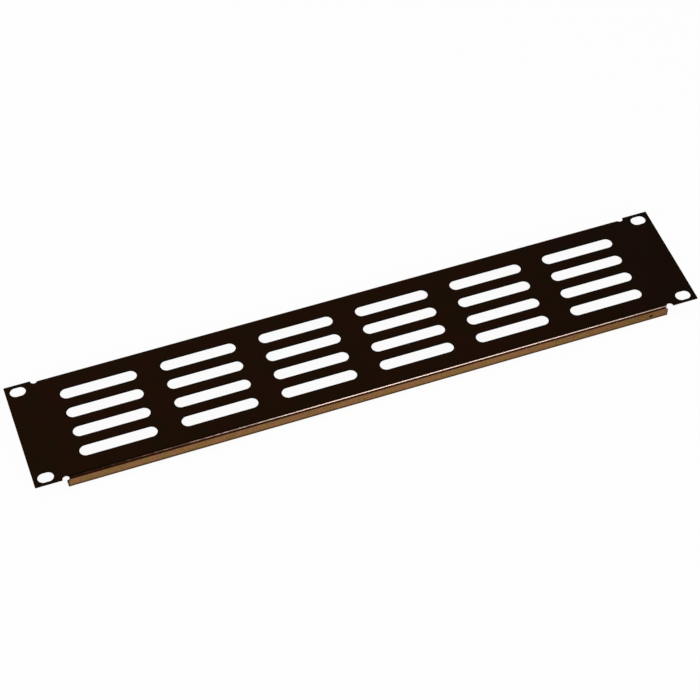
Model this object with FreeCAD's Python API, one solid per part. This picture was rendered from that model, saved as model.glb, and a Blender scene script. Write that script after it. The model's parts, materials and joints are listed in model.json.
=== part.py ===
import FreeCAD, Part
import math
import os

from FreeCAD import Vector

# A vented blanking panel for a 19 inch equipment rack: one steel sheet, punched flat and
# then folded back along its upper and lower edges. Sizes are in millimetres.
#
# Frame: the panel lies face up on the free edges of its two flanges. The origin is in the
# plane of those edges, under the middle of the face. +X runs along the panel's width, +Y
# towards its upper edge, and +Z out of the front face.

os.makedirs("parts", exist_ok=True)

# ---- Driving dimensions ----

# Rack size. The panel is a little lower than its rack units, so that neighbours never bind.
rack_unit_height = 44.45
rack_units = 2
height_play = 0.8
panel_width = 482.6

# Sheet and folds.
sheet_thickness = 1.2
bend_inner_radius = 0.8
neutral_fibre = 0.42         # where in the thickness, from the inside, the length is kept
flange_depth = 10.5          # from the front face to the flange's free edge
flange_inset = 0.55          # from the ear's edge to the flange's outer face
ear_width = 22.2             # from the panel's end to the end of the folds

# Relief holes, punched in the flat blank at each end of each bend.
relief_diameter = 5.0
relief_reach = 0.2           # how far the hole reaches past the bend line into the face
relief_bite = 1.6            # how far the hole bites into the end of the fold

# Mounting slots in the ears.
mount_slot_length = 11.1
mount_slot_width = 8.3
mount_from_end = 8.75        # from the panel's end to a slot's centre
mount_from_unit_edge = 6.35  # from the edge of the outer rack unit to a slot's centre

# Ventilation slots, laid out in a centred grid of as many as fit.
vent_length = 54.3
vent_width = 9.1
vent_bridge_x = 17.2         # metal left between two slots in a row
vent_bridge_y = 7.9          # metal left between two rows
vent_margin_x = 10.0         # least metal left between a row's end and the end of the folds
vent_margin_y = 9.0          # least metal left between the outer rows and the bend lines

# Small round hole near the right-hand end of the lower flange.
flange_hole_diameter = 2.5
flange_hole_from_end = 13.0
flange_hole_from_edge = 3.8  # from the flange's free edge to the hole's centre

# ---- Derived dimensions ----

panel_height = rack_units * rack_unit_height - height_play
bend_outer_radius = bend_inner_radius + sheet_thickness
bend_allowance = math.pi / 2 * (bend_inner_radius + neutral_fibre * sheet_thickness)

face_back = flange_depth - sheet_thickness
bend_axis_z = flange_depth - bend_outer_radius
flange_face_y = panel_height / 2 - flange_inset
bend_line_y = flange_face_y - bend_outer_radius
fold_end_x = panel_width / 2 - ear_width

relief_radius = relief_diameter / 2
relief_x = fold_end_x + relief_radius - relief_bite
relief_past_bend_line = relief_radius - relief_reach


# ---- Outlines ----

def rectangle(corner, along, up):
    """A rectangular face with two of its sides given as vectors from one corner."""
    corners = [corner, corner + along, corner + along + up, corner + up, corner]
    return Part.Face(Part.makePolygon(corners))


def disc(centre, diameter, normal):
    """A round face."""
    return Part.Face(Part.Wire(Part.makeCircle(diameter / 2, centre, normal)))


def round_ended_slot(x, y, length, width):
    """A slot along X with semicircular ends, in the plane of the face's back."""
    radius = width / 2
    reach = length / 2 - radius
    right, left = x + reach, x - reach
    upper, lower = y + radius, y - radius

    def point(point_x, point_y):
        return Vector(point_x, point_y, face_back)

    edges = [
        Part.LineSegment(point(left, upper), point(right, upper)),
        Part.Arc(point(right, upper), point(right + radius, y), point(right, lower)),
        Part.LineSegment(point(right, lower), point(left, lower)),
        Part.Arc(point(left, lower), point(left - radius, y), point(left, upper)),
    ]
    return Part.Face(Part.Wire([edge.toShape() for edge in edges]))


# ---- The face and its ears ----

def centred_places(size, bridge, room):
    """Centres, about zero, of as many openings of one size as fit in the room."""
    pitch = size + bridge
    count = int((room + bridge) / pitch)
    return [(index - (count - 1) / 2) * pitch for index in range(count)]


def vents():
    """The grid of ventilation slots."""
    columns = centred_places(vent_length, vent_bridge_x, 2 * (fold_end_x - vent_margin_x))
    rows = centred_places(vent_width, vent_bridge_y, 2 * (bend_line_y - vent_margin_y))
    return [round_ended_slot(x, y, vent_length, vent_width) for y in rows for x in columns]


def mounting_slots():
    """Four slots, one near each corner of the panel."""
    x = panel_width / 2 - mount_from_end
    y = rack_units * rack_unit_height / 2 - mount_from_unit_edge
    return [
        round_ended_slot(side * x, edge * y, mount_slot_length, mount_slot_width)
        for side in (-1, 1)
        for edge in (-1, 1)
    ]


def reliefs_in_face():
    """The relief holes where they lie in the flat face and the ears."""
    y = bend_line_y + relief_past_bend_line
    return [
        disc(Vector(side * relief_x, edge * y, face_back), relief_diameter, Vector(0, 0, 1))
        for side in (-1, 1)
        for edge in (-1, 1)
    ]


def face_and_ears():
    """The flat sheet between the bend lines, and an ear of the full height at each end."""
    between_bends = rectangle(
        Vector(-panel_width / 2, -bend_line_y, face_back),
        Vector(panel_width, 0, 0),
        Vector(0, 2 * bend_line_y, 0),
    )
    ears = [
        rectangle(
            Vector(side * panel_width / 2, -panel_height / 2, face_back),
            Vector(-side * ear_width, 0, 0),
            Vector(0, panel_height, 0),
        )
        for side in (-1, 1)
    ]
    outline = between_bends.fuse(ears).removeSplitter()
    punched = outline.cut(reliefs_in_face() + vents() + mounting_slots())
    return punched.extrude(Vector(0, 0, sheet_thickness))


# ---- The folds, built along the lower edge ----

def on_bend(past_bend_line, radius):
    """Y and Z after bending of a line of the blank, at this radius from the bend's axis."""
    angle = past_bend_line / bend_allowance * math.pi / 2
    return -bend_line_y - radius * math.sin(angle), bend_axis_z + radius * math.cos(angle)


def relief_round_bend(side):
    """Tool that cuts a relief hole where it wraps round the bend, at the end on this side.

    The rim of the round hole is laid on two cylinders, one just inside the bend and one just
    outside it, and the tool is everything outboard of the surface between the two rims."""
    steps = 6
    stride = bend_allowance / steps
    distances = [step * stride for step in range(-1, steps + 2)]
    rims = []
    for radius in (0.8 * bend_inner_radius, bend_outer_radius + 0.05 * sheet_thickness):
        points = []
        for past_bend_line in distances:
            from_centre = past_bend_line - relief_past_bend_line
            half_chord = math.sqrt(max(0, relief_radius**2 - from_centre**2))
            points.append(Vector(side * (relief_x - half_chord), *on_bend(past_bend_line, radius)))
        rim = Part.BSplineCurve()
        rim.interpolate(Points=points, Parameters=distances)
        rims.append(rim.toShape())
    return Part.makeRuledSurface(*rims).extrude(Vector(side * relief_diameter, 0, 0))


def bend():
    """The quarter turn between the face and the flange, with a relief at each end."""
    edge_of_face = rectangle(
        Vector(-fold_end_x, -bend_line_y, face_back),
        Vector(2 * fold_end_x, 0, 0),
        Vector(0, 0, sheet_thickness),
    )
    turned = edge_of_face.revolve(Vector(0, -bend_line_y, bend_axis_z), Vector(1, 0, 0), 90)
    return turned.cut([relief_round_bend(side) for side in (-1, 1)])


def flange(holes):
    """The flat of a flange, with a relief at each end and the holes given by x and z."""
    back = -flange_face_y + sheet_thickness
    outline = rectangle(
        Vector(-fold_end_x, back, 0),
        Vector(2 * fold_end_x, 0, 0),
        Vector(0, 0, bend_axis_z),
    )
    relief_z = bend_axis_z + bend_allowance - relief_past_bend_line
    cuts = [
        disc(Vector(side * relief_x, back, relief_z), relief_diameter, Vector(0, 1, 0))
        for side in (-1, 1)
    ]
    for x, z in holes:
        cuts.append(disc(Vector(x, back, z), flange_hole_diameter, Vector(0, 1, 0)))
    return outline.cut(cuts).extrude(Vector(0, -sheet_thickness, 0))


def fold(holes):
    """A bend and its flange."""
    return bend().fuse(flange(holes))


# ---- The folded sheet ----

flange_hole = (fold_end_x - flange_hole_from_end, flange_hole_from_edge)
lower_fold = fold([flange_hole])
upper_fold = fold([]).mirror(Vector(0, 0, 0), Vector(0, 1, 0))
vented_panel = face_and_ears().fuse([lower_fold, upper_fold]).removeSplitter()

vented_panel.exportStep("parts/vented_panel.step")
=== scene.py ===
import json
import math

import bmesh
import bpy
from mathutils import Color, Euler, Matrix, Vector


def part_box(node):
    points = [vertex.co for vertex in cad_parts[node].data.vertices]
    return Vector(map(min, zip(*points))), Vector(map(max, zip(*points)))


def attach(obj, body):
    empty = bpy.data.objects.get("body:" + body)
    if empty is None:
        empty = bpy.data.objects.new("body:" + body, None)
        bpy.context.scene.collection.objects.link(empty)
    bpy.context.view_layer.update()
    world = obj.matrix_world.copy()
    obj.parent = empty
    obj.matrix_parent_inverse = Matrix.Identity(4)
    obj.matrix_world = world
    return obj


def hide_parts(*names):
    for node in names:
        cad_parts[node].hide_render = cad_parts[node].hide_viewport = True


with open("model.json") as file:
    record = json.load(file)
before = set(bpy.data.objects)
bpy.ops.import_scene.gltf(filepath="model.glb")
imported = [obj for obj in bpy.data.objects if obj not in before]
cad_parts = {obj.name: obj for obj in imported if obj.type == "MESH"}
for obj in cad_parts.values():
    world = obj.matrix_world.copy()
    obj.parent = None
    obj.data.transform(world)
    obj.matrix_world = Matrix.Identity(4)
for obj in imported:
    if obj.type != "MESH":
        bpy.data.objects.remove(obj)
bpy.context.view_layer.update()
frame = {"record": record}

# A vented blanking panel for an equipment rack: one steel sheet, punched flat, folded back
# along two edges and powder coated. Everything is in metres, in the frame of the model.

# ---- Sizes of the panel ----

MM = 0.001

lowest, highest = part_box("vented_panel")
panel_width = highest.x - lowest.x
panel_height = highest.y - lowest.y
flange_depth = highest.z - lowest.z
rack_slots = next(m for m in frame["record"]["mounts"] if m["name"] == "rack_slots")["dims"]

sheet_thickness = 1.2 * MM
bend_inner_radius = 0.8 * MM
neutral_fibre = 0.42
flange_inset = 0.55 * MM
ear_width = 22.2 * MM

relief_diameter = 5.0 * MM
relief_reach = 0.2 * MM
relief_bite = 1.6 * MM

vent_columns, vent_rows = 6, 4
vent_length = 54.3 * MM
vent_width = 9.1 * MM
vent_pitch_x = 71.5 * MM
vent_pitch_y = 17.0 * MM

mount_length = rack_slots["slot_length_mm"] * MM
mount_width = 2 * rack_slots["hole_r_mm"] * MM
mount_pitch_x = rack_slots["spacing_x_mm"] * MM
mount_pitch_y = rack_slots["spacing_y_mm"] * MM

flange_hole_diameter = 2.5 * MM
flange_hole_from_end = 13.0 * MM
flange_hole_from_edge = 3.8 * MM

# How finely the sheet is meshed.
bend_rows = 10
punch_corner_points = 14
rim_segments = 2
same_place = 0.001 * MM      # points nearer to each other than this are made one
punched_sliver = 0.03 * MM   # the same, once the sheet is punched

punch_height = 3.0           # in thicknesses of the sheet, from one below it
rim_radius = 0.14 * MM       # how round the coat leaves a punched or sheared rim
wall_level = 0.5             # a face whose normal rises less than this is a cut edge
smooth_angle = math.radians(30)     # steeper edges are shaded sharp
rim_angle = math.radians(40)        # steeper edges are rims, and are rounded

bend_outer_radius = bend_inner_radius + sheet_thickness
bend_allowance = math.pi / 2 * (bend_inner_radius + neutral_fibre * sheet_thickness)
bend_axis_z = flange_depth - bend_outer_radius
bend_line_y = panel_height / 2 - flange_inset - bend_outer_radius
flange_edge_y = bend_line_y + bend_allowance + bend_axis_z
fold_end_x = panel_width / 2 - ear_width
relief_x = fold_end_x + relief_diameter / 2 - relief_bite
relief_y = bend_line_y + relief_diameter / 2 - relief_reach
flange_hole_x = fold_end_x - flange_hole_from_end
flange_hole_y = flange_hole_from_edge - flange_edge_y


# ---- Writing node trees ----

def add(tree, kind, inputs=None, out=0, **settings):
    """Adds a node, sets or links its inputs by name or place, and returns one output."""
    node = tree.nodes.new(kind)
    for name, value in settings.items():
        setattr(node, name, value)
    for key, value in (inputs or {}).items():
        if isinstance(value, bpy.types.NodeSocket):
            tree.links.new(value, node.inputs[key])
        else:
            node.inputs[key].default_value = value
    return node.outputs[out]


def maths(tree, operation, *values):
    """A Math node on up to three numbers or sockets."""
    return add(tree, "ShaderNodeMath", dict(enumerate(values)), operation=operation)


def both(tree, *masks):
    """Where all of the masks hold."""
    result = masks[0]
    for mask in masks[1:]:
        result = maths(tree, "MULTIPLY", result, mask)
    return result


def either(tree, *masks):
    """Where any of the masks holds."""
    result = masks[0]
    for mask in masks[1:]:
        result = maths(tree, "MAXIMUM", result, mask)
    return result


def outside_of(tree, mask):
    """Where the mask doesn't hold."""
    return maths(tree, "SUBTRACT", 1.0, mask)


def axes_of(tree, vector):
    """The X, Y and Z of a vector, as outputs by name."""
    parts = tree.nodes.new("ShaderNodeSeparateXYZ")
    tree.links.new(vector, parts.inputs[0])
    return parts.outputs


def new_group(name, kind, inputs, outputs):
    """An empty node group with its named sockets, and its group input node."""
    tree = bpy.data.node_groups.new(name, kind)
    for label, (socket_type, value) in inputs.items():
        socket = tree.interface.new_socket(name=label, in_out="INPUT", socket_type=socket_type)
        if value is not None:
            socket.default_value = value
    for label, socket_type in outputs.items():
        tree.interface.new_socket(name=label, in_out="OUTPUT", socket_type=socket_type)
    return tree, tree.nodes.new("NodeGroupInput")


# ---- The panel: punched flat, then folded ----

def flat_blank(coat):
    """The sheared sheet as one layer of faces, with rows of edges where it will be bent."""
    bend_lines = [bend_line_y + bend_allowance * row / bend_rows for row in range(bend_rows + 1)]
    upper = bend_lines + [panel_height / 2, flange_edge_y]
    rows = [-y for y in reversed(upper)] + upper
    columns = [-panel_width / 2, -fold_end_x, fold_end_x, panel_width / 2]
    sheet = bmesh.new()
    corners = [[sheet.verts.new((x, y, 0)) for x in columns] for y in rows]
    for row in range(len(rows) - 1):
        in_ears = abs(rows[row] + rows[row + 1]) < panel_height
        here, above = corners[row], corners[row + 1]
        spans = ((0, 1), (1, 2), (2, 3)) if in_ears else ((1, 2),)
        for left, right in spans:
            sheet.faces.new([here[left], here[right], above[right], above[left]])
    loose = [corner for corner in sheet.verts if not corner.link_faces]
    bmesh.ops.delete(sheet, geom=loose, context="VERTS")
    mesh = bpy.data.meshes.new("flat_blank")
    sheet.to_mesh(mesh)
    sheet.free()
    mesh.materials.append(coat)
    return mesh


def merged(tree, geometry, distance):
    """The geometry with points that lie this near each other made one."""
    return add(
        tree, "GeometryNodeMergeByDistance",
        {"Geometry": geometry, "Distance": distance},
    )


def thicken(tree, faces, depth):
    """A closed solid from flat faces that look up."""
    offset = add(tree, "ShaderNodeCombineXYZ", {"Z": depth})
    walls = add(
        tree, "GeometryNodeExtrudeMesh",
        {"Mesh": faces, "Offset": offset, "Individual": False},
    )
    joined = tree.nodes.new("GeometryNodeJoinGeometry")
    tree.links.new(walls, joined.inputs[0])
    tree.links.new(add(tree, "GeometryNodeFlipFaces", {"Mesh": faces}), joined.inputs[0])
    return merged(tree, joined.outputs[0], same_place)


def punch_tool_group():
    """Node group: a grid of round-ended punches, as solids that stand across the sheet."""
    tree, given = new_group(
        "Round-ended punches", "GeometryNodeTree",
        {
            "Length": ("NodeSocketFloat", vent_length),
            "Width": ("NodeSocketFloat", vent_width),
            "Pitch X": ("NodeSocketFloat", vent_pitch_x),
            "Pitch Y": ("NodeSocketFloat", vent_pitch_y),
            "Columns": ("NodeSocketInt", 1),
            "Rows": ("NodeSocketInt", 1),
            "Centre": ("NodeSocketVector", None),
            "Corner Points": ("NodeSocketInt", punch_corner_points),
            "Sheet Thickness": ("NodeSocketFloat", sheet_thickness),
        },
        {"Punches": "NodeSocketGeometry"},
    )
    g = given.outputs
    outline = add(
        tree, "GeometryNodeCurvePrimitiveQuadrilateral",
        {"Width": g["Length"], "Height": g["Width"]},
    )
    end_radius = maths(tree, "MULTIPLY", g["Width"], 0.5)
    rounded = add(
        tree, "GeometryNodeFilletCurve",
        {"Curve": outline, "Count": g["Corner Points"], "Radius": end_radius},
        mode="POLY",
    )
    face = add(tree, "GeometryNodeFillCurve", {"Curve": rounded}, mode="NGONS")
    height = maths(tree, "MULTIPLY", g["Sheet Thickness"], punch_height)
    punch = thicken(tree, merged(tree, face, same_place), height)
    last_column = maths(tree, "SUBTRACT", g["Columns"], 1.0)
    last_row = maths(tree, "SUBTRACT", g["Rows"], 1.0)
    places = add(
        tree, "GeometryNodeMeshGrid",
        {
            "Size X": maths(tree, "MULTIPLY", g["Pitch X"], last_column),
            "Size Y": maths(tree, "MULTIPLY", g["Pitch Y"], last_row),
            "Vertices X": g["Columns"],
            "Vertices Y": g["Rows"],
        },
    )
    one_below = maths(tree, "MULTIPLY", g["Sheet Thickness"], -1.0)
    below = add(tree, "ShaderNodeCombineXYZ", {"Z": one_below})
    start = add(tree, "ShaderNodeVectorMath", {0: g["Centre"], 1: below}, operation="ADD")
    placed = add(tree, "GeometryNodeTransform", {"Geometry": places, "Translation": start})
    instances = add(tree, "GeometryNodeInstanceOnPoints", {"Points": placed, "Instance": punch})
    realized = add(tree, "GeometryNodeRealizeInstances", {"Geometry": instances})
    tree.links.new(realized, tree.nodes.new("NodeGroupOutput").inputs[0])
    return tree


def fold_position(tree, g):
    """Where a point of the flat sheet comes to lie; in the ears it only moves up to the face."""
    x, y, height = axes_of(tree, add(tree, "GeometryNodeInputPosition"))
    # Lengths along the sheet: past the bend line, short of it, and beyond the bend.
    past = maths(tree, "SUBTRACT", maths(tree, "ABSOLUTE", y), g["Bend Line Y"])
    short = maths(tree, "MINIMUM", past, 0.0)
    beyond = maths(tree, "MAXIMUM", maths(tree, "SUBTRACT", past, g["Bend Allowance"]), 0.0)
    turned = maths(tree, "DIVIDE", past, g["Bend Allowance"])
    turned = add(tree, "ShaderNodeClamp", {"Value": turned})
    angle = maths(tree, "MULTIPLY", turned, math.pi / 2)
    radius = maths(tree, "ADD", height, g["Bend Inner Radius"])
    out = maths(tree, "MULTIPLY_ADD", radius, maths(tree, "SINE", angle), g["Bend Line Y"])
    out = maths(tree, "MULTIPLY", maths(tree, "ADD", out, short), maths(tree, "SIGN", y))
    up = maths(tree, "MULTIPLY_ADD", radius, maths(tree, "COSINE", angle), g["Bend Axis Z"])
    up = maths(tree, "SUBTRACT", up, beyond)
    folded = add(tree, "ShaderNodeCombineXYZ", {"X": x, "Y": out, "Z": up})
    face_back = maths(tree, "ADD", g["Bend Axis Z"], g["Bend Inner Radius"])
    flat_z = maths(tree, "ADD", height, face_back)
    flat = add(tree, "ShaderNodeCombineXYZ", {"X": x, "Y": y, "Z": flat_z})
    in_fold = add(
        tree, "FunctionNodeCompare",
        {"A": maths(tree, "ABSOLUTE", x), "B": g["Relief X"]},
        operation="LESS_THAN",
    )
    return add(
        tree, "GeometryNodeSwitch", {"Switch": in_fold, "False": flat, "True": folded},
        input_type="VECTOR",
    )


def press_brake_group(coat, cut_edge):
    """Node group: gives the blank its thickness, punches it, folds it and coats it."""
    tree, given = new_group(
        "Punched and folded sheet", "GeometryNodeTree",
        {
            "Blank": ("NodeSocketGeometry", None),
            "Sheet Thickness": ("NodeSocketFloat", sheet_thickness),
            "Vent Length": ("NodeSocketFloat", vent_length),
            "Vent Width": ("NodeSocketFloat", vent_width),
            "Vent Pitch X": ("NodeSocketFloat", vent_pitch_x),
            "Vent Pitch Y": ("NodeSocketFloat", vent_pitch_y),
            "Vent Columns": ("NodeSocketInt", vent_columns),
            "Vent Rows": ("NodeSocketInt", vent_rows),
            "Mounting Slot Length": ("NodeSocketFloat", mount_length),
            "Mounting Slot Width": ("NodeSocketFloat", mount_width),
            "Mounting Pitch X": ("NodeSocketFloat", mount_pitch_x),
            "Mounting Pitch Y": ("NodeSocketFloat", mount_pitch_y),
            "Relief Diameter": ("NodeSocketFloat", relief_diameter),
            "Relief X": ("NodeSocketFloat", relief_x),
            "Relief Y": ("NodeSocketFloat", relief_y),
            "Flange Hole Diameter": ("NodeSocketFloat", flange_hole_diameter),
            "Flange Hole Place": ("NodeSocketVector", (flange_hole_x, flange_hole_y, 0)),
            "Bend Line Y": ("NodeSocketFloat", bend_line_y),
            "Bend Allowance": ("NodeSocketFloat", bend_allowance),
            "Bend Inner Radius": ("NodeSocketFloat", bend_inner_radius),
            "Bend Axis Z": ("NodeSocketFloat", bend_axis_z),
            "Coat": ("NodeSocketMaterial", coat),
            "Cut Edge": ("NodeSocketMaterial", cut_edge),
        },
        {"Panel": "NodeSocketGeometry"},
    )
    g = given.outputs
    punch_tool = punch_tool_group()

    def punches(length, width, pitch_x, pitch_y, columns, rows, centre=(0, 0, 0)):
        """A grid of punches of one size."""
        return add(
            tree, "GeometryNodeGroup",
            {
                "Length": length, "Width": width, "Pitch X": pitch_x, "Pitch Y": pitch_y,
                "Columns": columns, "Rows": rows, "Centre": centre,
                "Sheet Thickness": g["Sheet Thickness"],
            },
            node_tree=punch_tool,
        )

    sheet = thicken(tree, g["Blank"], g["Sheet Thickness"])
    relief_pitch = {axis: maths(tree, "MULTIPLY", g["Relief " + axis], 2.0) for axis in "XY"}
    tools = [
        punches(
            g["Vent Length"], g["Vent Width"],
            g["Vent Pitch X"], g["Vent Pitch Y"], g["Vent Columns"], g["Vent Rows"],
        ),
        punches(
            g["Mounting Slot Length"], g["Mounting Slot Width"],
            g["Mounting Pitch X"], g["Mounting Pitch Y"], columns=2, rows=2,
        ),
        punches(
            g["Relief Diameter"], g["Relief Diameter"],
            relief_pitch["X"], relief_pitch["Y"], columns=2, rows=2,
        ),
        punches(
            g["Flange Hole Diameter"], g["Flange Hole Diameter"],
            pitch_x=0.0, pitch_y=0.0, columns=1, rows=1, centre=g["Flange Hole Place"],
        ),
    ]
    cut = tree.nodes.new("GeometryNodeMeshBoolean")
    cut.operation = "DIFFERENCE"
    cut.solver = "EXACT"
    tree.links.new(sheet, cut.inputs["Mesh 1"])
    for tool in tools:
        tree.links.new(tool, cut.inputs["Mesh 2"])
    punched = merged(tree, cut.outputs[0], punched_sliver)

    normal = axes_of(tree, add(tree, "GeometryNodeInputNormal"))
    level = maths(tree, "ABSOLUTE", normal["Z"])
    is_wall = add(
        tree, "FunctionNodeCompare", {"A": level, "B": wall_level},
        operation="LESS_THAN",
    )
    marked = add(
        tree, "GeometryNodeStoreNamedAttribute",
        {"Geometry": punched, "Name": "cut_wall", "Value": is_wall},
        data_type="BOOLEAN", domain="FACE",
    )
    folded = add(
        tree, "GeometryNodeSetPosition",
        {"Geometry": marked, "Position": fold_position(tree, g)},
    )
    realized = add(tree, "GeometryNodeRealizeInstances", {"Geometry": folded})
    coated = add(tree, "GeometryNodeSetMaterial", {"Geometry": realized, "Material": g["Coat"]})
    wall = add(tree, "GeometryNodeInputNamedAttribute", {"Name": "cut_wall"}, data_type="BOOLEAN")
    edged = add(
        tree, "GeometryNodeSetMaterial",
        {"Geometry": coated, "Selection": wall, "Material": g["Cut Edge"]},
    )
    tree.links.new(edged, tree.nodes.new("NodeGroupOutput").inputs[0])
    return tree


def plain_mesh(piece, name):
    """The piece as its modifiers leave it, as a mesh of its own."""
    graph = bpy.context.evaluated_depsgraph_get()
    mesh = bpy.data.meshes.new_from_object(piece.evaluated_get(graph), depsgraph=graph)
    mesh.name = name
    return mesh


def make_panel(coat, cut_edge):
    """The whole panel, folded and with its rims rounded by the coat."""
    panel = bpy.data.objects.new("panel", flat_blank(coat))
    bpy.context.scene.collection.objects.link(panel)
    folding = panel.modifiers.new("folding", "NODES")
    folding.node_group = press_brake_group(coat, cut_edge)
    formed = plain_mesh(panel, "panel_formed")
    panel.modifiers.clear()
    panel.data = formed
    formed.shade_smooth()
    formed.set_sharp_from_angle(angle=smooth_angle)
    rims = panel.modifiers.new("coated_rims", "BEVEL")
    rims.width = rim_radius
    rims.segments = rim_segments
    rims.limit_method = "ANGLE"
    rims.angle_limit = rim_angle
    rims.use_clamp_overlap = False
    rims.harden_normals = True
    finished = plain_mesh(panel, "panel")
    panel.modifiers.clear()
    panel.data = finished
    # Rounding the rims can lift a corner by a hair.
    for corner in finished.vertices:
        corner.co.z = min(corner.co.z, flange_depth)
    return panel


# ---- Finishes ----

def outer_bend_z(angle):
    """Height of the bend's outside, this many degrees round it."""
    return bend_axis_z + bend_outer_radius * math.cos(math.radians(angle))


# A highlight is painted along the crown of each bend: brightest midway along the panel, browner
# towards both ends and faintest at the left-hand end, and broken in patches where it is dim.
crown_start, crown_full = outer_bend_z(32), outer_bend_z(47)
crown_fades, crown_end = outer_bend_z(52), outer_bend_z(67)
brown_highlight_start, brown_highlight_full = -215 * MM, -115 * MM
bright_highlight_start, bright_highlight_full = -170 * MM, -20 * MM
bright_highlight_fades, bright_highlight_end = 145 * MM, 305 * MM
highlight_gap_size = 3.5 * MM                     # size of the gaps in the painted highlight
highlight_gap_loss = 0.5                         # how much of the painted highlight is lost in a gap
gap_start, gap_full = 0.62, 0.42     # levels of the noise that lays them out

# Where the other tones of the coat begin and end.
shoulder_width = 0.6 * MM
turned_down_y = bend_line_y + 0.35 * bend_outer_radius
flange_tone_start, flange_tone_end = flange_depth - 2.4 * MM, flange_depth - 3.2 * MM
# Painted shade darkens each flange towards its lower edge, where it meets the floor; the flanges
# also darken towards the ends of the folds.
free_edge_dark, free_edge_end = 0.7 * MM, 2.6 * MM
fold_end_start, fold_end_dark = fold_end_x - 1.4 * MM, fold_end_x - 0.4 * MM
rim_band = 0.8 * MM

# The coat is darkened a little towards the right-hand end: painted shade, where the light falls
# off.
right_shade_start, right_shade_full = 70 * MM, 260 * MM
face_right_shade, flange_right_shade = 0.42, 0.30

# The tone drifts from plain to warm in patches, between these levels of their noise, and the
# flanges are speckled as well.
drift_start, drift_full = 0.35, 0.65
flange_patch, edge_patch = 7 * MM, 4 * MM
flange_speckle = 1.1

# How rough, grainy, metallic and glossy the coat is. Its gloss is faint and warm.
face_roughness = 0.5
flange_roughness = 0.4
crown_roughness = 0.32
edge_roughness = 0.55
grain_depth = 0.03 * MM
coat_grain, edge_grain = 0.25, 0.3
flange_metallic = 0.6
coat_gloss = 0.03
coat_gloss_tint = (1.0, 0.5, 0.25, 1.0)


def linear(red, green, blue):
    """A screen colour, 0 to 255, as the linear colour that a shader takes."""
    return (*Color((red / 255, green / 255, blue / 255)).from_srgb_to_scene_linear(), 1.0)


face_tone = linear(20, 10, 2)
face_warm_tone = linear(25, 9, 3)
rim_tone = linear(5, 3, 2)
rim_warm_tone = linear(9, 5, 3)
# A dark red-brown line is painted along the lower bend, under the crown: a painted dark
# reflection.
bend_tone = linear(40, 6, 0)
# Painted highlight on the crown of each bend: its faint, brown and bright tones.
crown_faint_highlight_tone = linear(43, 25, 12)
crown_brown_highlight_tone = linear(100, 74, 59)
crown_bright_highlight_tone = linear(170, 148, 136)
# Painted light: the flanges are the same coat as the face, given a lighter bronze for the bright
# floor that they face and reflect.
flange_tone = linear(130, 102, 61)
flange_warm_tone = linear(142, 101, 71)
# Darker tone for the flanges' lower edges, as painted shade, and for the ends of the folds.
free_edge_tone = linear(70, 51, 29)


def new_material(name):
    """An empty material, and its node tree."""
    material = bpy.data.materials.new(name)
    material.use_nodes = True
    material.node_tree.nodes.clear()
    return material, material.node_tree


def colour_mix(tree, factor, first, second):
    """A blend of two colours."""
    return add(
        tree, "ShaderNodeMix", {"Factor": factor, "A": first, "B": second},
        out="Result", data_type="RGBA",
    )


def scaled_colour(tree, colour, factor):
    """A colour made lighter or darker."""
    return add(tree, "ShaderNodeVectorMath", {0: colour, "Scale": factor}, operation="SCALE")


def number_mix(tree, factor, first, second):
    """A blend of two numbers."""
    return add(tree, "ShaderNodeMix", {"Factor": factor, "A": first, "B": second})


def grain_bump(tree, height, strength):
    """A normal that the coat's grain disturbs."""
    return add(
        tree, "ShaderNodeBump",
        {"Height": height, "Strength": strength, "Distance": grain_depth},
    )


def step_between(tree, value, start, end):
    """0 before start, 1 after end and smooth between them."""
    return add(
        tree, "ShaderNodeMapRange", {"Value": value, "From Min": start, "From Max": end},
        interpolation_type="SMOOTHSTEP",
    )


def powder_group():
    """Shader group: the fine grain of cured powder and its slow drift in tone."""
    tree, given = new_group(
        "Cured powder", "ShaderNodeTree",
        {
            "Place": ("NodeSocketVector", None),
            "Tone": ("NodeSocketColor", (0, 0, 0, 1)),
            "Warm Tone": ("NodeSocketColor", (0, 0, 0, 1)),
            "Grain Size": ("NodeSocketFloat", 0.4 * MM),
            "Patch Size": ("NodeSocketFloat", 14 * MM),
            "Speckle Size": ("NodeSocketFloat", 1.2 * MM),
            "Speckle": ("NodeSocketFloat", 0.0),
            "Roughness": ("NodeSocketFloat", 0.45),
            "Roughness Spread": ("NodeSocketFloat", 0.06),
        },
        {"Color": "NodeSocketColor", "Roughness": "NodeSocketFloat", "Height": "NodeSocketFloat"},
    )
    g = given.outputs

    def noise(size, detail):
        """Noise whose patches have this size."""
        scale = maths(tree, "DIVIDE", 1.0, size)
        return add(
            tree, "ShaderNodeTexNoise",
            {"Vector": g["Place"], "Scale": scale, "Detail": detail},
        )

    patches = noise(g["Patch Size"], 2.0)
    speckle = maths(tree, "SUBTRACT", noise(g["Speckle Size"], 1.0), 0.5)
    lightness = maths(tree, "MULTIPLY_ADD", speckle, g["Speckle"], 1.0)
    drift = step_between(tree, patches, drift_start, drift_full)
    colour = scaled_colour(tree, colour_mix(tree, drift, g["Tone"], g["Warm Tone"]), lightness)
    wander = maths(tree, "MULTIPLY", maths(tree, "SUBTRACT", patches, 0.5), g["Roughness Spread"])
    roughness = maths(tree, "MULTIPLY_ADD", wander, 2.0, g["Roughness"])
    result = tree.nodes.new("NodeGroupOutput")
    tree.links.new(colour, result.inputs["Color"])
    tree.links.new(roughness, result.inputs["Roughness"])
    tree.links.new(noise(g["Grain Size"], 1.0), result.inputs["Height"])
    return tree


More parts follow.
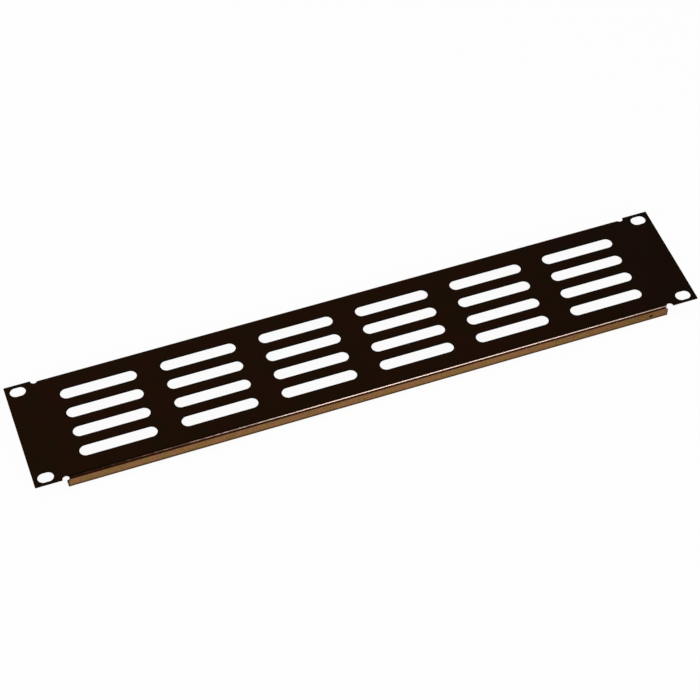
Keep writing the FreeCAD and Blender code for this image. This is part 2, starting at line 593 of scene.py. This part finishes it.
def slot_rims_group():
    """Shader group: 1 at the rims of a centred grid of round-ended slots, 0 a band away."""
    tree, given = new_group(
        "Rims of punched slots", "ShaderNodeTree",
        {
            "Place": ("NodeSocketVector", None),
            "Length": ("NodeSocketFloat", vent_length),
            "Width": ("NodeSocketFloat", vent_width),
            "Pitch X": ("NodeSocketFloat", vent_pitch_x),
            "Pitch Y": ("NodeSocketFloat", vent_pitch_y),
            "Columns": ("NodeSocketFloat", 1.0),
            "Rows": ("NodeSocketFloat", 1.0),
            "Band": ("NodeSocketFloat", rim_band),
        },
        {"Mask": "NodeSocketFloat"},
    )
    g = given.outputs
    place = axes_of(tree, g["Place"])

    def from_nearest(along, pitch, count):
        """Distance along one axis to the nearest slot's centre."""
        last = maths(tree, "SUBTRACT", count, 1.0)
        middle = maths(tree, "MULTIPLY", last, 0.5)
        steps = maths(tree, "ADD", maths(tree, "DIVIDE", along, pitch), middle)
        index = maths(tree, "MINIMUM", maths(tree, "ROUND", steps), last)
        index = maths(tree, "MAXIMUM", index, 0.0)
        centre = maths(tree, "MULTIPLY", maths(tree, "SUBTRACT", index, middle), pitch)
        return maths(tree, "ABSOLUTE", maths(tree, "SUBTRACT", along, centre))

    radius = maths(tree, "MULTIPLY", g["Width"], 0.5)
    reach = maths(tree, "SUBTRACT", maths(tree, "MULTIPLY", g["Length"], 0.5), radius)
    along = from_nearest(place["X"], g["Pitch X"], g["Columns"])
    along = maths(tree, "MAXIMUM", maths(tree, "SUBTRACT", along, reach), 0.0)
    across = from_nearest(place["Y"], g["Pitch Y"], g["Rows"])
    squares = maths(tree, "MULTIPLY_ADD", along, along, maths(tree, "MULTIPLY", across, across))
    from_rim = maths(tree, "SUBTRACT", maths(tree, "SQRT", squares), radius)
    mask = outside_of(tree, step_between(tree, from_rim, 0.0, g["Band"]))
    tree.links.new(mask, tree.nodes.new("NodeGroupOutput").inputs["Mask"])
    return tree


powder = powder_group()
slot_rims = slot_rims_group()


def powder_coat(tree, place, values):
    """The outputs of the powder group, placed in a material with that material's values."""
    node = tree.nodes.new("ShaderNodeGroup")
    node.node_tree = powder
    tree.links.new(place, node.inputs["Place"])
    for name, value in values.items():
        node.inputs[name].default_value = value
    return node.outputs


def crown_highlight_masks(tree, place, at):
    """Along a bend: how much of the crown's painted highlight shows, how brown it is, and how
    bright.
    """
    rise = step_between(tree, at["Z"], crown_start, crown_full)
    fall = step_between(tree, at["Z"], crown_fades, crown_end)
    brown_highlight = step_between(tree, at["X"], brown_highlight_start, brown_highlight_full)
    bright_highlight_rise = step_between(tree, at["X"], bright_highlight_start, bright_highlight_full)
    bright_highlight_fall = step_between(tree, at["X"], bright_highlight_fades, bright_highlight_end)
    bright_highlight = maths(tree, "SUBTRACT", bright_highlight_rise, bright_highlight_fall)
    patches = add(
        tree, "ShaderNodeTexNoise",
        {"Vector": place, "Scale": 1 / highlight_gap_size, "Detail": 1.0},
    )
    in_gap = step_between(tree, patches, gap_start, gap_full)
    gapped = both(tree, in_gap, outside_of(tree, bright_highlight))
    kept = maths(tree, "MULTIPLY_ADD", gapped, -highlight_gap_loss, 1.0)
    return both(tree, maths(tree, "SUBTRACT", rise, fall), kept), brown_highlight, bright_highlight


def rims_mask(tree, place, from_middle_x, from_middle_y, in_ear):
    """The rims of the vents, of the mounting slots and of the ears' sheared edges."""
    vent_rims = add(
        tree, "ShaderNodeGroup",
        {"Place": place, "Columns": float(vent_columns), "Rows": float(vent_rows)},
        node_tree=slot_rims,
    )
    mount_rims = add(
        tree, "ShaderNodeGroup",
        {
            "Place": place, "Columns": 2.0, "Rows": 2.0,
            "Length": mount_length, "Width": mount_width,
            "Pitch X": mount_pitch_x, "Pitch Y": mount_pitch_y,
        },
        node_tree=slot_rims,
    )
    to_end = maths(tree, "SUBTRACT", panel_width / 2, from_middle_x)
    to_edge = maths(tree, "SUBTRACT", panel_height / 2, from_middle_y)
    to_sheared = maths(tree, "MINIMUM", to_end, to_edge)
    sheared = outside_of(tree, step_between(tree, to_sheared, 0.0, rim_band))
    return either(tree, vent_rims, mount_rims, both(tree, sheared, in_ear))


def make_coat():
    """The coat on the face, the back and the folds, with light and shade painted on the bends and
    flanges.
    """
    material, tree = new_material("brown_powder_coat")
    place = add(tree, "ShaderNodeTexCoord", out="Object")
    at = axes_of(tree, place)
    from_middle_x = maths(tree, "ABSOLUTE", at["X"])
    from_middle_y = maths(tree, "ABSOLUTE", at["Y"])

    # Masks, each from 0 to 1.
    in_ear = maths(tree, "GREATER_THAN", from_middle_x, relief_x)
    in_folds = outside_of(tree, in_ear)
    past_bend = maths(tree, "GREATER_THAN", from_middle_y, turned_down_y)
    turned_down = both(tree, past_bend, in_folds)
    flange_height = step_between(tree, at["Z"], flange_tone_start, flange_tone_end)
    on_flange = both(tree, flange_height, turned_down)
    crown, brown_highlight, bright_highlight = crown_highlight_masks(tree, place, at)
    on_crown = both(tree, crown, turned_down)
    below_crown = both(tree, step_between(tree, at["Z"], crown_fades, crown_end), turned_down)
    bend_line = step_between(tree, from_middle_y, bend_line_y, bend_line_y + shoulder_width)
    shoulder = both(tree, bend_line, in_folds)
    shaded_lower_edge = outside_of(tree, step_between(tree, at["Z"], free_edge_dark, free_edge_end))
    fold_end = step_between(tree, from_middle_x, fold_end_start, fold_end_dark)
    rims = rims_mask(tree, place, from_middle_x, from_middle_y, in_ear)
    right_shade = step_between(tree, at["X"], right_shade_start, right_shade_full)

    def shaded_to_right(colour, share):
        """The colour, darker by this share at the right-hand end, as painted shade."""
        return scaled_colour(tree, colour, maths(tree, "MULTIPLY_ADD", right_shade, -share, 1.0))

    on_face = powder_coat(
        tree, place,
        {"Tone": face_tone, "Warm Tone": face_warm_tone, "Roughness": face_roughness},
    )
    on_fold = powder_coat(
        tree, place,
        {
            "Tone": flange_tone, "Warm Tone": flange_warm_tone, "Roughness": flange_roughness,
            "Patch Size": flange_patch, "Speckle": flange_speckle,
        },
    )
    colour = shaded_to_right(on_face["Color"], face_right_shade)
    colour = colour_mix(tree, either(tree, rims, shoulder), colour, rim_tone)
    # Painted dark reflection along the lower bend, under the crown's highlight.
    colour = colour_mix(tree, below_crown, colour, bend_tone)
    # The crown's painted highlight, brown or bright along the panel.
    crown_highlight_colour = colour_mix(tree, brown_highlight, crown_faint_highlight_tone, crown_brown_highlight_tone)
    crown_highlight_colour = colour_mix(tree, bright_highlight, crown_highlight_colour, crown_bright_highlight_tone)
    colour = colour_mix(tree, on_crown, colour, crown_highlight_colour)
    # The flanges' lighter bronze is painted light on the one coat.
    fold_colour = shaded_to_right(on_fold["Color"], flange_right_shade)
    fold_colour = colour_mix(tree, either(tree, shaded_lower_edge, fold_end), fold_colour, free_edge_tone)
    colour = colour_mix(tree, on_flange, colour, fold_colour)
    roughness = number_mix(tree, on_flange, on_face["Roughness"], on_fold["Roughness"])
    roughness = number_mix(tree, on_crown, roughness, crown_roughness)
    shader = add(
        tree, "ShaderNodeBsdfPrincipled",
        {
            "Base Color": colour,
            "Roughness": roughness,
            "Metallic": maths(tree, "MULTIPLY_ADD", on_flange, flange_metallic, on_crown),
            "Specular IOR Level": coat_gloss,
            "Specular Tint": coat_gloss_tint,
            "Normal": grain_bump(tree, on_face["Height"], coat_grain),
        },
    )
    tree.links.new(shader, tree.nodes.new("ShaderNodeOutputMaterial").inputs["Surface"])
    return material


def make_cut_edge():
    """The thin coat on sheared and punched edges."""
    material, tree = new_material("coated_cut_edge")
    place = add(tree, "ShaderNodeTexCoord", out="Object")
    on_edge = powder_coat(
        tree, place,
        {
            "Tone": rim_tone, "Warm Tone": rim_warm_tone, "Roughness": edge_roughness,
            "Patch Size": edge_patch,
        },
    )
    shader = add(
        tree, "ShaderNodeBsdfPrincipled",
        {
            "Base Color": on_edge["Color"],
            "Roughness": on_edge["Roughness"],
            "Specular IOR Level": coat_gloss,
            "Normal": grain_bump(tree, on_edge["Height"], edge_grain),
        },
    )
    tree.links.new(shader, tree.nodes.new("ShaderNodeOutputMaterial").inputs["Surface"])
    return material


coat = make_coat()
cut_edge = make_cut_edge()

panel = make_panel(coat, cut_edge)
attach(panel, "root")
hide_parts("vented_panel")


# ---- Floor, light and camera ----

floor_reach = 4.0            # from the panel to the floor's edge
floor_whiteness = 0.95       # share that is plain white, where the rest takes the shadow
floor_colour = (0.9, 0.9, 0.9, 1.0)
white = (1.0, 1.0, 1.0, 1.0)
fill_light = 0.45            # strength of the white surroundings, where they light the panel

# The floor is dark behind each flange, under the face's margin, where no light gets in.
flange_inner_y = bend_line_y + bend_inner_radius
closed_in_start, closed_in_full = 37.4 * MM, 38.6 * MM


def shows_backdrop(tree):
    """1 for rays that show the backdrop, straight on, in a reflection or through glass."""
    path = tree.nodes.new("ShaderNodeLightPath").outputs
    straight_or_reflected = maths(tree, "ADD", path["Is Camera Ray"], path["Is Glossy Ray"])
    shown = maths(tree, "ADD", straight_or_reflected, path["Is Transmission Ray"])
    return maths(tree, "MINIMUM", shown, 1.0)


def make_floor():
    """A wide pale floor that the panel lies on, dark where the panel closes it in."""
    corners = [(-1, -1), (1, -1), (1, 1), (-1, 1)]
    mesh = bpy.data.meshes.new("floor")
    points = [(x * floor_reach, y * floor_reach, 0) for x, y in corners]
    mesh.from_pydata(points, [], [(0, 1, 2, 3)])
    floor = bpy.data.objects.new("floor", mesh)
    bpy.context.scene.collection.objects.link(floor)
    material, tree = new_material("pale_floor")
    at = axes_of(tree, add(tree, "ShaderNodeTexCoord", out="Object"))
    along = maths(tree, "ABSOLUTE", at["X"])
    across = maths(tree, "ABSOLUTE", at["Y"])
    from_below = add(tree, "ShaderNodeNewGeometry", out="Backfacing")
    closed_in = both(
        tree,
        maths(tree, "LESS_THAN", along, fold_end_x),
        step_between(tree, across, closed_in_start, closed_in_full),
        maths(tree, "LESS_THAN", across, flange_inner_y),
        outside_of(tree, from_below),
    )
    whiteness = maths(tree, "MULTIPLY", shows_backdrop(tree), floor_whiteness)
    glowing = both(tree, outside_of(tree, closed_in), whiteness)
    lit = add(tree, "ShaderNodeBsdfDiffuse", {"Color": floor_colour})
    glow = add(tree, "ShaderNodeEmission", {"Color": white, "Strength": 1.0})
    mixed = add(tree, "ShaderNodeMixShader", {0: glowing, 1: lit, 2: glow})
    tree.links.new(mixed, tree.nodes.new("ShaderNodeOutputMaterial").inputs["Surface"])
    mesh.materials.append(material)
    return floor


make_floor()


def area_light(name, size, power, place, aim):
    """A rectangular softbox that the camera doesn't see."""
    lamp = bpy.data.lights.new(name, "AREA")
    lamp.shape = "RECTANGLE"
    lamp.size, lamp.size_y = size
    lamp.energy = power
    light = bpy.data.objects.new(name, lamp)
    light.location = place
    light.rotation_mode = "QUATERNION"
    light.rotation_quaternion = (Vector(place) - Vector(aim)).to_track_quat("Z", "Y")
    light.visible_camera = False
    bpy.context.scene.collection.objects.link(light)


def make_surroundings():
    """White all round, weaker where it lights the panel than where it is seen."""
    world = bpy.data.worlds.new("studio")
    world.use_nodes = True
    tree = world.node_tree
    tree.nodes.clear()
    strength = add(
        tree, "ShaderNodeMapRange",
        {"Value": shows_backdrop(tree), "To Min": fill_light, "To Max": 1.0},
    )
    sky = add(tree, "ShaderNodeBackground", {"Color": white, "Strength": strength})
    tree.links.new(sky, tree.nodes.new("ShaderNodeOutputWorld").inputs["Surface"])
    return world


def make_camera():
    """A long lens that looks down on the panel from its near left."""
    camera_data = bpy.data.cameras.new("camera")
    camera_data.lens = 108.556
    camera_data.sensor_width = 36.0
    camera = bpy.data.objects.new("camera", camera_data)
    camera.location = (-0.30867, -0.87317, 1.15368)
    camera.rotation_euler = Euler([math.radians(turn) for turn in (38.805, 0.3415, -19.6312)])
    bpy.context.scene.collection.objects.link(camera)
    return camera


area_light(
    "strip_softbox", size=(0.6, 0.15), power=4.5,
    place=(0.3, -1.15, 0.64), aim=(0.3, 0, 0.01),
)
area_light(
    "overhead_softbox", size=(1.4, 1.4), power=14.0,
    place=(-0.7, 0.3, 1.7), aim=(0, 0, 0),
)
bpy.context.scene.world = make_surroundings()
bpy.context.scene.camera = make_camera()
bpy.context.scene.view_settings.view_transform = "Standard"
